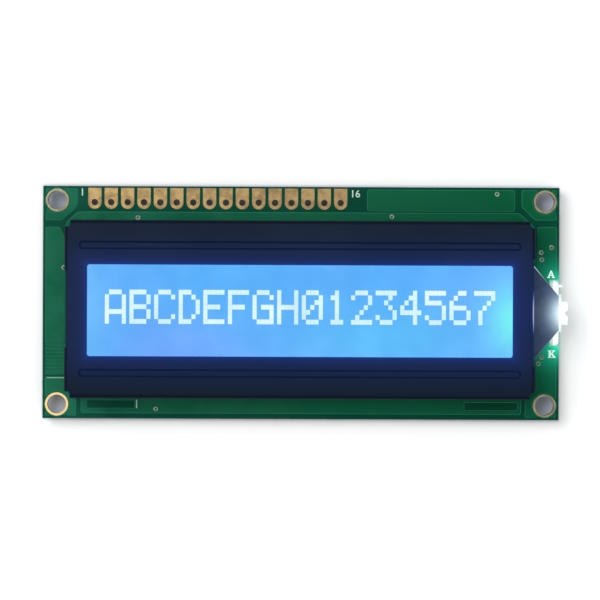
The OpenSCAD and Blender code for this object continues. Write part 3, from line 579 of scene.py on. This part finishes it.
def cornerRounded(outline, radius, steps=5):
    # each corner swapped for a quadratic curve that starts and ends a radius from it
    outline = np.asarray(outline, float)
    before = np.roll(outline, 1, axis=0) - outline
    after = np.roll(outline, -1, axis=0) - outline
    start = outline + before / np.linalg.norm(before, axis=1)[:, None] * radius
    end = outline + after / np.linalg.norm(after, axis=1)[:, None] * radius
    t = np.linspace(0, 1, steps)[None, :, None]
    bend = start[:, None] * (1 - t) ** 2 + 2 * outline[:, None] * t * (1 - t) + end[:, None] * t ** 2
    return bend.reshape(-1, 2)


def trackPiece(name, paths, width, base, face):
    # Paths of one length, each a row of points. A trapezium is carried along each with mitred bends.
    paths = np.asarray(paths, float)
    count, steps = paths.shape[:2]
    along = np.diff(paths, axis=1)
    along /= np.linalg.norm(along, axis=2, keepdims=True)
    into = np.concatenate([along[:, :1], along], axis=1)
    mitre = mitreOf(into, np.concatenate([along, along[:, -1:]], axis=1))
    # across the width, and up from base to face
    section = np.array([[-0.5, 0.0], [-0.30, 1.0], [0.30, 1.0], [0.5, 0.0]])
    flat = paths[:, :, None] + mitre[:, :, None] * section[None, None, :, :1] * width
    height = np.broadcast_to(base + (face - base) * section[:, 1], flat.shape[:3])
    points = np.concatenate([flat, height[..., None]], axis=-1).reshape(-1, 3)
    corner = np.arange(4)
    start = (np.arange(count)[:, None, None] * steps + np.arange(steps - 1)[None, :, None]) * 4
    ahead = (corner + 1) % 4
    walls = np.stack([start + corner, start + ahead, start + 4 + ahead, start + 4 + corner], axis=-1)
    first = (np.arange(count) * steps * 4)[:, None] + corner[::-1]
    last = (np.arange(count) * steps * 4 + (steps - 1) * 4)[:, None] + corner
    return meshPiece(name, points, np.concatenate([walls.reshape(-1, 4), first, last]))


def turnedPiece(name, places, profile, steps, lean=0.0, wobble=1.0):
    # A profile of (radius, height) points is spun round an upright axis at each place. The wobble scales
    # the radius by direction, and the lean shifts each ring sideways, more the nearer it is to the axis.
    places, profile = np.asarray(places, float), np.asarray(profile, float)
    turn = np.linspace(0, 2 * np.pi, steps, endpoint=False)
    ring = np.column_stack([np.cos(turn), np.sin(turn)]) * np.broadcast_to(wobble, steps)[:, None]
    radius = profile[None, :, None, None, 0]
    shift = np.broadcast_to(lean, places.shape)[:, None, None] * (1 - radius / radius.max())
    flat = places[:, None, None] + radius * ring[None, None] + shift
    height = np.broadcast_to(profile[None, :, None, 1], flat.shape[:3])
    points = np.concatenate([flat, height[..., None]], axis=-1).reshape(-1, 3)
    row = np.arange(len(profile) - 1)[None, :, None] * steps
    here = np.arange(steps)[None, None]
    start = np.arange(len(places))[:, None, None] * len(profile) * steps + row
    after = (here + 1) % steps
    faces = np.stack([start + here, start + after, start + steps + after, start + steps + here], axis=-1)
    return meshPiece(name, points, faces.reshape(-1, 4), smooth=True)


# The lit dots of sixteen characters: a box on each dot that a five by seven table marks
characters = {
    "dot": (0.635, 0.735), "step": (0.65, 0.75), "pitch": 3.77, "line": "ABCDEFGH01234567",
    "A": "01110 10001 10001 10001 11111 10001 10001", "B": "11110 10001 10001 11110 10001 10001 11110",
    "C": "01110 10001 10000 10000 10000 10001 01110", "D": "11100 10010 10001 10001 10001 10010 11100",
    "E": "11111 10000 10000 11110 10000 10000 11111", "F": "11111 10000 10000 11110 10000 10000 10000",
    "G": "01110 10001 10000 10111 10001 10001 01111", "H": "10001 10001 10001 11111 10001 10001 10001",
    "0": "01110 10001 10011 10101 11001 10001 01110", "1": "00100 01100 00100 00100 00100 00100 01110",
    "2": "01110 10001 00001 00010 00100 01000 11111", "3": "11111 00010 00100 00010 00001 10001 01110",
    "4": "00010 00110 01010 10010 11111 00010 00010", "5": "11111 10000 11110 00001 00001 10001 01110",
    "6": "00110 01000 10000 11110 10001 10001 01110", "7": "11111 00001 00010 00100 01000 01000 01000",
}
marked = np.array([
    [[int(dot) for dot in row] for row in characters[letter].split()] for letter in characters["line"]
])
cell, row, column = np.nonzero(marked)
dotLeft = cellLow[0] + cell * characters["pitch"] + column * characters["step"][0]
dotTop = cellHigh[1] - row * characters["step"][1]
corners = np.array([(x, -y, z) for z in (0, 1) for x, y in ((0, 0), (1, 0), (1, 1), (0, 1))], float)
corners *= (*characters["dot"], cellHigh[2] - cellLow[2])
dotPoints = np.column_stack([dotLeft, dotTop, np.full(len(cell), cellLow[2])])[:, None] + corners
boxFaces = np.array([(3, 2, 1, 0), (4, 5, 6, 7), (0, 1, 5, 4), (1, 2, 6, 5), (2, 3, 7, 6), (3, 0, 4, 7)])
dotFaces = (np.arange(len(cell)) * len(corners))[:, None, None] + boxFaces
placePiece(meshPiece("lit_dots", dotPoints.reshape(-1, 3), dotFaces.reshape(-1, 4)),
           "dots", "character_fields")
print("characters lit:", len(cell), "dots")

# Vias: a raised rim round a dimple that leans to one side, the same on both faces of the board
via = {
    "lean": 0.06, "steps": 24, "turnStep": 2.4,    # the lean's direction turns by a step from via to via
    "places": [(37.2, 7.96), (37.3, 6.86), (38.8, 8.76), (37.3, -8.24), (36.8, -9.24), (-36.75, 5.36),
               (30.35, 16.96), (14.05, 13.41), (-22.45, -16.49), (-25.3, 13.1)],
    # radius and height over the board's face, from the middle of the dimple out to the rim's foot
    "profile": [(0, -0.1), (0.08, -0.09), (0.12, 0), (0.18, 0.08), (0.26, 0.1), (0.36, 0.08), (0.4, 0)],
}
viaFront = np.array(via["profile"])
viaBack = viaFront[::-1] * (1, -1)
viaFront[:, 1] += boardTop
viaTurn = np.arange(len(via["places"])) * via["turnStep"]
viaLean = via["lean"] * np.column_stack([np.cos(viaTurn), np.sin(viaTurn)])
viaWall = np.concatenate([viaFront, viaBack])
placePiece(turnedPiece("via_rings", via["places"], viaWall, via["steps"], viaLean),
           "via", "vias")
print("vias dimpled")

# Copper under the mask on the front: pours with sloped rims, and bare laminate between them. A pour has
# its corners' radius, its outline, and its holes: a corner's mounting ring, or the outline of a bare inset.
pour = {"thick": 0.045, "rim": 0.10, "edge": 0.38, "ringGap": 0.12, "insetRadius": 0.15}
frontFace = boardTop + pour["thick"]
edgeX, edgeY = boardHigh[:2] - pour["edge"]
ringPlace = ringsHigh[:2] - ringRadius
topRight, topLeft, lowRight, lowLeft = (1, 1), (-1, 1), (1, -1), (-1, -1)


def layPours(pours, base, face):
    # an outline and its holes for each pour, raised from base to face
    for pourName, (radius, outline, *holes) in pours.items():
        loops = [cornerRounded(outline, radius)]
        for hole in holes:
            if len(hole) == 2:
                loops.append(circle(ringPlace * hole, ringRadius + pour["ringGap"]))
            else:
                loops.append(cornerRounded(hole, pour["insetRadius"]))
        placePiece(raisedShape(pourName, loops, base, face, pour["rim"]), "copper")


layPours({
    "upper_pour": (0.45, rectangle((10.2, 14.25), (33.14, edgeY))),
    "upper_band": (0.35, [
        (-36.5, 10.6), (-36.5, 12.3), (-34.6, 14.05), (33.8, 14.05), (36.2, 11.9), (36.2, 6.35),
        (34.6, 6.35), (34.6, 11.2), (-34.6, 11.2), (-34.6, 10.6)]),
    "corner_pour_tr": (0.3, [
        (34.15, 15.0), (36.25, 12.95), (edgeX, 12.95), (edgeX, edgeY), (34.15, edgeY)], topRight),
    "corner_pour_tl": (0.3, [
        (-edgeX, 12.65), (-37.1, 12.65), (-35, 14.5), (-34.6, 15.2), (-34.6, edgeY), (-edgeX, edgeY)],
        topLeft),
    "right_pour": (0.25, rectangle((36.65, 4.1), (edgeX, 11.95))),
    "right_low_pour": (0.3, [
        (36.5, -7.3), (edgeX, -7.3), (edgeX, -edgeY), (34.75, -edgeY), (34.75, -15), (36.5, -13.3)],
        lowRight),
    "left_pour": (0.3, [(-edgeX, -6.5), (-36.55, -6.5), (-36.55, 9.9), (-37.4, 11.65), (-edgeX, 11.65)]),
    "left_low_pour": (0.3, [
        (-edgeX, -edgeY), (-34.75, -edgeY), (-34.75, -15), (-36, -13.5), (-36, -11.5), (-edgeX, -11.5)],
        lowLeft),
    "lower_pour": (0.5, rectangle((-34.1, -17.2), (34.2, -14.0)), rectangle((25.4, -16.5), (33.6, -15.35)),
                   rectangle((-33.1, -16.35), (-25.75, -15.2))),
}, boardTop, frontFace)
combed = {"right": -35.4, "top": -6.85, "bottom": -10.95, "count": 8, "width": 0.54}
combRows = np.linspace(combed["top"], combed["bottom"], combed["count"])
frontTracks = [[(-edgeX, y), (combed["right"], y)] for y in combRows]
placePiece(trackPiece("front_tracks", frontTracks, combed["width"], boardTop, frontFace),
           "copper")
print("front copper laid")

# Copper on the rear. A fan of tracks leaves its starts straight, runs across at a level of its own and
# meets its ends straight, so that no two tracks cross.
rear = {"face": -0.045, "track": 0.24, "chamfer": 0.25, "inside": 0.4}    # tracks start inside a dome's rim
domes = {"controller": {"x": -12.0, "y": -1.04, "rim": 6.8, "inkRing": 7.35},
         "driver": {"x": 14.0, "y": -1.04, "rim": 5.8, "inkRing": 6.35}}


def fanPaths(starts, ends, firstLevel, gap):
    # six points for each track; the outermost track that runs a way takes the level next to the starts
    across = ends[:, 0] - starts[:, 0]
    toward = np.sign(ends[:, 1] - starts[:, 1])
    goesLeft = across < 0
    rank = np.where(goesLeft, goesLeft.cumsum() - 1, (~goesLeft)[::-1].cumsum()[::-1] - 1)
    level = firstLevel + toward * gap * rank
    cut = np.minimum(rear["chamfer"], np.abs(across) / 2.5)
    side = np.sign(across) * cut
    drop = toward * cut
    startX, endX = starts[:, 0], ends[:, 0]
    x = np.stack([startX, startX, startX + side, endX - side, endX, endX], axis=1)
    y = np.stack([starts[:, 1], level - drop, level, level, level + drop, ends[:, 1]], axis=1)
    return np.stack([x, y], axis=-1)


def rimPoints(domeName, x, side):
    # points just inside a dome's rim: its middle + side (sqrt(rim^2 - dx^2) - inside), at some x
    dome = domes[domeName]
    y = dome["y"] + side * (np.sqrt(dome["rim"] ** 2 - (x - dome["x"]) ** 2) - rear["inside"])
    return np.column_stack([x, y])


def rowAt(x, y):
    # points at some x, all at one y
    return np.column_stack([x, np.full(len(x), y)])


header = {"first": -32.0, "pitch": 2.54, "y": 14.3, "pins": [0, 1, 2, 3, 6, 7, 8, 9, 10, 11, 12, 13]}
pinX = header["first"] + header["pitch"] * np.array(header["pins"])
landX = np.linspace(-17.3, -9.2, len(pinX))
headerFan = fanPaths(rowAt(pinX, header["y"]), rimPoints("controller", landX, 1), 12.0, 0.5)
# from the domes to small vias: the span left, the span reached and its y, the first level and the gap
fans = [
    {"dome": "controller", "side": -1, "count": 18, "leave": (-17.6, -6.6), "reach": (-29.3, -6.35),
     "y": -12.4, "level": -8.3, "gap": 0.21},
    {"dome": "driver", "side": -1, "count": 18, "leave": (9.3, 18.7), "reach": (6.8, 29.3),
     "y": -12.4, "level": -7.4, "gap": 0.27},
    {"dome": "driver", "side": 1, "count": 12, "leave": (10.2, 17.8), "reach": (9.9, 26.4),
     "y": 9.5, "level": 5.4, "gap": 0.3},
]
domeFans = [
    fanPaths(rimPoints(fan["dome"], np.linspace(*fan["leave"], fan["count"]), fan["side"]),
             rowAt(np.linspace(*fan["reach"], fan["count"]), fan["y"]), fan["level"], fan["gap"])
    for fan in fans
]
placePiece(trackPiece("rear_fans", np.concatenate([headerFan, *domeFans]), rear["track"], 0.0, rear["face"]),
           "copper")
bus = {"from": -6.2, "to": 9.2, "half": 2.6, "count": 9, "width": 0.3}
busRows = domes["driver"]["y"] + np.linspace(-bus["half"], bus["half"], bus["count"])
busPaths = [[(bus["from"], y), (bus["to"], y)] for y in busRows]
placePiece(trackPiece("rear_bus", busPaths, bus["width"], 0.0, rear["face"]), "copper")
lampFeeds = [
    [(6.1, 14.3), (6.1, 13.95), (6.3, 13.75), (33.4, 13.75), (35.4, 11.75), (38.3, 11.75), (38.9, 11.15),
     (38.9, -7.7), (38.3, -8.3), (37.3, -8.3)],
    [(3.56, 14.3), (3.56, 13.0), (3.56, 11.1), (4.16, 10.5), (20.0, 10.5), (33.3, 10.5), (35.8, 8.0),
     (36.2, 7.6), (36.6, 7.4), (37.3, 7.4)],
]
placePiece(trackPiece("rear_lamp_feeds", lampFeeds, 0.6, 0.0, rear["face"]), "copper")
tentedPlaces = np.concatenate([fan[:, -1] for fan in domeFans])
tentedProfile = [(0, -0.01), (0.1, -0.015), (0.16, -0.05), (0.24, -0.05), (0.3, 0.0), (0, 0.0)]
placePiece(turnedPiece("rear_tented_vias", tentedPlaces, tentedProfile, 14), "copper")
layPours({
    "rear_pour_tr": (0.3, [
        (34.6, 15.6), (36.6, 13.2), (edgeX, 13.2), (edgeX, edgeY), (34.6, edgeY)], topRight),
    "rear_pour_tl": (0.3, [
        (-edgeX, 12.65), (-37.1, 12.65), (-34.6, 15.2), (-34.6, edgeY), (-edgeX, edgeY)], topLeft),
    "rear_pour_br": (0.3, [
        (edgeX, -9.6), (36.9, -9.6), (36.9, -13.3), (34.75, -15), (34.75, -edgeY), (edgeX, -edgeY)],
        lowRight),
    "rear_pour_bl": (0.3, [
        (-edgeX, -edgeY), (-34.75, -edgeY), (-34.75, -15.0), (-36.9, -12.6), (-edgeX, -12.6)], lowLeft),
    "rear_pour_left": (0.3, rectangle((-edgeX, -11.8), (-37.6, 11.8))),
    "rear_pour_low": (0.4, rectangle((-34.1, -17.5), (34.1, -15.9))),
    "rear_pour_high": (0.45, rectangle((10.2, 14.6), (33.6, edgeY))),
}, 0.0, rear["face"])
print("rear copper laid")

# Potting domes: the height falls from the middle as a flattened bell, tall (1 - share^2.6)^0.62, and the
# outline wanders by a few hundredths with twice and three times the turn
potting = {
    "shrink": 0.25, "rings": 15, "steps": 72, "flat": 2.6, "steep": 0.62, "twofold": 0.018,
    "threefold": 0.011,
    "blobs": {"controller_blob": ("controller_dome", 0.4), "driver_blob": ("driver_dome", 2.1)},
}
for blobName, (domeNode, phase) in potting["blobs"].items():
    low, high = boxMm(domeNode)
    middle = (low + high) / 2
    radius, tall = (high[0] - low[0]) / 2 - potting["shrink"], high[2] - low[2]
    share = np.linspace(0, 1, potting["rings"])
    bell = np.column_stack([share * radius, -tall * (1 - share ** potting["flat"]) ** potting["steep"]])
    turn = np.linspace(0, 2 * np.pi, potting["steps"], endpoint=False)
    wobble = (1 + potting["twofold"] * np.sin(2 * turn + phase)
              + potting["threefold"] * np.sin(3 * turn + 2 * phase))
    closed = np.concatenate([bell, [(0, 0.0)]])
    placePiece(turnedPiece(blobName, [middle[:2]], closed, potting["steps"], wobble=wobble),
               "potting", domeNode)

# Solder fillets at the chips' ends: a hollow curve, tall (1 - share)^2, from the end's face down to the
# pad, carried across the chip. Each row of chips has its y, its count and the height of a fillet.
chip = {"length": 2.0, "width": 1.25, "pitch": 3.6, "out": 0.26, "padFace": -0.05, "curve": 7,
        "rows": [(8.16, 5, 0.42), (-10.24, 3, 0.62)]}
filletShare = np.linspace(0, 1, chip["curve"])
here = np.arange(chip["curve"] + 1)
ahead = (here + 1) % len(here)
filletPoints, filletFaces = [], []
for rowY, count, tall in chip["rows"]:
    for chipX in (np.arange(count) - (count - 1) / 2) * chip["pitch"]:
        for side in (-1, 1):
            away = chipX + side * (chip["length"] / 2 + chip["out"] * filletShare)
            depth = chip["padFace"] - tall * (1 - filletShare) ** 2
            x, z = np.append(away, away[0]), np.append(depth, chip["padFace"])
            start = len(filletPoints) * len(here)
            filletPoints += [np.column_stack([x, np.full(len(here), rowY + end * chip["width"] / 2), z])
                             for end in (-1, 1)]
            walls = np.column_stack([here, ahead, ahead + len(here), here + len(here)])
            filletFaces += [*(start + walls), start + here, start + len(here) + here[::-1]]
placePiece(meshPiece("chip_fillets", np.concatenate(filletPoints), filletFaces), "solder")
print("rear parts finished")

# White lettering and marks of the silkscreen, printed over the mask, and a thin white line that is a painted
# highlight on a copper step
ink = {"thick": 0.02, "line": 0.16, "numberTall": 1.15, "letterTall": 1.16, "fontScale": 1.37,
       "bolder": 0.02}
inkFace = frontFace + ink["thick"]


def inkedText(name, words, at, flipped=False):
    # built-in letters made a mesh, then set down by their middle, turned over for the rear face
    drawn = bpy.data.curves.new(name, "FONT")
    drawn.body = words
    drawn.size = ink["numberTall"] * mm * ink["fontScale"]
    drawn.align_x = "CENTER"
    drawn.align_y = "CENTER"
    drawn.extrude = ink["thick"] / 2 * mm
    drawn.offset = ink["bolder"] * mm
    holder = addObject(name, drawn)
    bpy.context.view_layer.update()
    mesh = bpy.data.meshes.new_from_object(holder.evaluated_get(bpy.context.evaluated_depsgraph_get()))
    bpy.data.objects.remove(holder)
    if flipped:
        mesh.transform(Matrix.Rotation(np.pi, 4, "Y"))
    mesh.transform(Matrix.Translation([c * mm for c in at]))
    mesh.name = name
    return placePiece(addObject(name, mesh), "ink")


pinNumbers = {"pin_number_1": ("1", -33.93, 17.0), "pin_number_16": ("16", 8.35, 16.9)}
for face, level, flipped in (("", boardTop + ink["thick"] / 2, False), ("rear_", -ink["thick"] / 2, True)):
    for numberName, (words, x, y) in pinNumbers.items():
        inkedText(face + numberName, words, (x, y, level), flipped)

# Bold serif A and K beside the edge light's pads, as outlines in a unit square
serifLetters = {
    "anode_mark": {"at": (38.75, ledMid + 6.01), "loops": [
        [(0, 0), (0.34, 0), (0.34, 0.13), (0.29, 0.15), (0.34, 0.3), (0.64, 0.3), (0.69, 0.15),
         (0.62, 0.13), (0.62, 0), (1, 0), (1, 0.13), (0.93, 0.15), (0.6, 1), (0.42, 1),
         (0.09, 0.15), (0, 0.13)],
        [(0.39, 0.43), (0.6, 0.43), (0.495, 0.74)]]},
    "cathode_mark": {"at": (38.90, ledMid - 6.35), "loops": [
        [(0, 0), (0.46, 0), (0.46, 0.12), (0.37, 0.15), (0.37, 0.38), (0.44, 0.46), (0.66, 0.15),
         (0.58, 0.12), (0.58, 0), (1.04, 0), (1.04, 0.12), (0.95, 0.15), (0.6, 0.63), (0.84, 0.85),
         (0.96, 0.88), (0.96, 1), (0.56, 1), (0.56, 0.88), (0.62, 0.85), (0.37, 0.58), (0.37, 0.85),
         (0.46, 0.88), (0.46, 1), (0, 1), (0, 0.88), (0.09, 0.85), (0.09, 0.15), (0, 0.12)]]},
}
for letterName, letter in serifLetters.items():
    placed = [(np.array(loop) - 0.5) * ink["letterTall"] + letter["at"] for loop in letter["loops"]]
    placePiece(raisedShape(letterName, placed, frontFace, inkFace), "lit ink")
# the second stroke is a painted highlight along the left pour's step, drawn as a thin line of white ink
strokes = {"front_tick": ([(-25.4, -15.1), (-25.4, -16.4)], 0.16),
           "front_step_highlight": ([(-39.35, -11.75), (-36.6, -11.75)], 0.1)}
for strokeName, (path, width) in strokes.items():
    placePiece(trackPiece(strokeName, [path], width, frontFace, inkFace), "ink")
inkFrames = {"rear_resistor_frame": ((-9.1, 7.2), (9.1, 9.15)),
             "rear_capacitor_frame": ((-5.5, -11.35), (5.5, -9.15))}
inkLoops = {
    frameName: [rectangle(low, high), rectangle(np.add(low, ink["line"]), np.subtract(high, ink["line"]))]
    for frameName, (low, high) in inkFrames.items()
}
for domeName, dome in domes.items():
    inkLoops["rear_" + domeName + "_ring"] = [
        circle((dome["x"], dome["y"]), dome["inkRing"] - inward, 72) for inward in (0, ink["line"])]
rearInk = rear["face"] - ink["thick"]
for frameName, loops in inkLoops.items():
    placePiece(raisedShape(frameName, loops, rear["face"], rearInk), "ink")
print("lettering inked")

# Floor: a pale sheet under the part, lifted to white for the camera outside the board, with painted shade
# under the board and just past its edges
half = surround["floorSide"] / 2
floorZ = cadBox[0][2] - surround["floorDrop"] * mm
floorMesh = bpy.data.meshes.new("floor")
floorCorners = rectangle((-half, -half), (half, half)).tolist()
floorMesh.from_pydata([(x, y, floorZ) for x, y in floorCorners], [], [(0, 1, 2, 3)])
floor = addObject("floor", floorMesh)
paper, tree = startMaterial("pale paper", Roughness=0.8, Specular_IOR_Level=0.1, Emission_Color="#FFFFFF")
sheet = addNode(tree, "Mix", {0: mottle(tree, 60.0), 6: "#F6F7FA", 7: "#FBFBFD"}, **blend)
# painted shade: under the board the sheet is a darker cool grey and isn't lifted, so that the holes show it
# dark
clear = pastRectangle(tree, np.zeros(2), boardHigh[:2])
pastShadeShare = addNode(tree, "MapRange", {"Value": clear, "From Max": surround["shadeEdge"] * mm})
laid = addNode(tree, "Mix", {0: pastShadeShare, 6: "#C2C9DC", 7: sheet}, **blend)
lift = addNode(tree, "Math", {0: pastShadeShare, 1: surround["floorLift"]}, operation="MULTIPLY")
seenStraight = addNode(tree, "LightPath", output="Is Camera Ray")
shown = addNode(tree, "Math", {0: seenStraight, 1: lift}, operation="MULTIPLY")
setShader(paper, Base_Color=laid, Emission_Strength=shown)
floorMesh.materials.append(paper)

# World: a soft even light, and plain white where the camera or a mirror looks past the floor
world = bpy.data.worlds.new("studio")
world.use_nodes = True
scene.world = world
tree = world.node_tree
tree.nodes.clear()
rays = addNode(tree, "LightPath").node
through = addNode(tree, "Math", {0: rays.outputs["Is Glossy Ray"], 1: rays.outputs["Is Transmission Ray"]},
                  operation="MAXIMUM")
seen = addNode(tree, "Math", {0: rays.outputs["Is Camera Ray"], 1: through}, operation="MAXIMUM")
strength = addNode(tree, "MapRange", {"Value": seen, "To Min": surround["light"], "To Max": 1.0})
backdrop = addNode(tree, "Background", {"Color": "#FFFFFF", "Strength": strength})
addNode(tree, "OutputWorld", {"Surface": backdrop})
print("floor and world set")
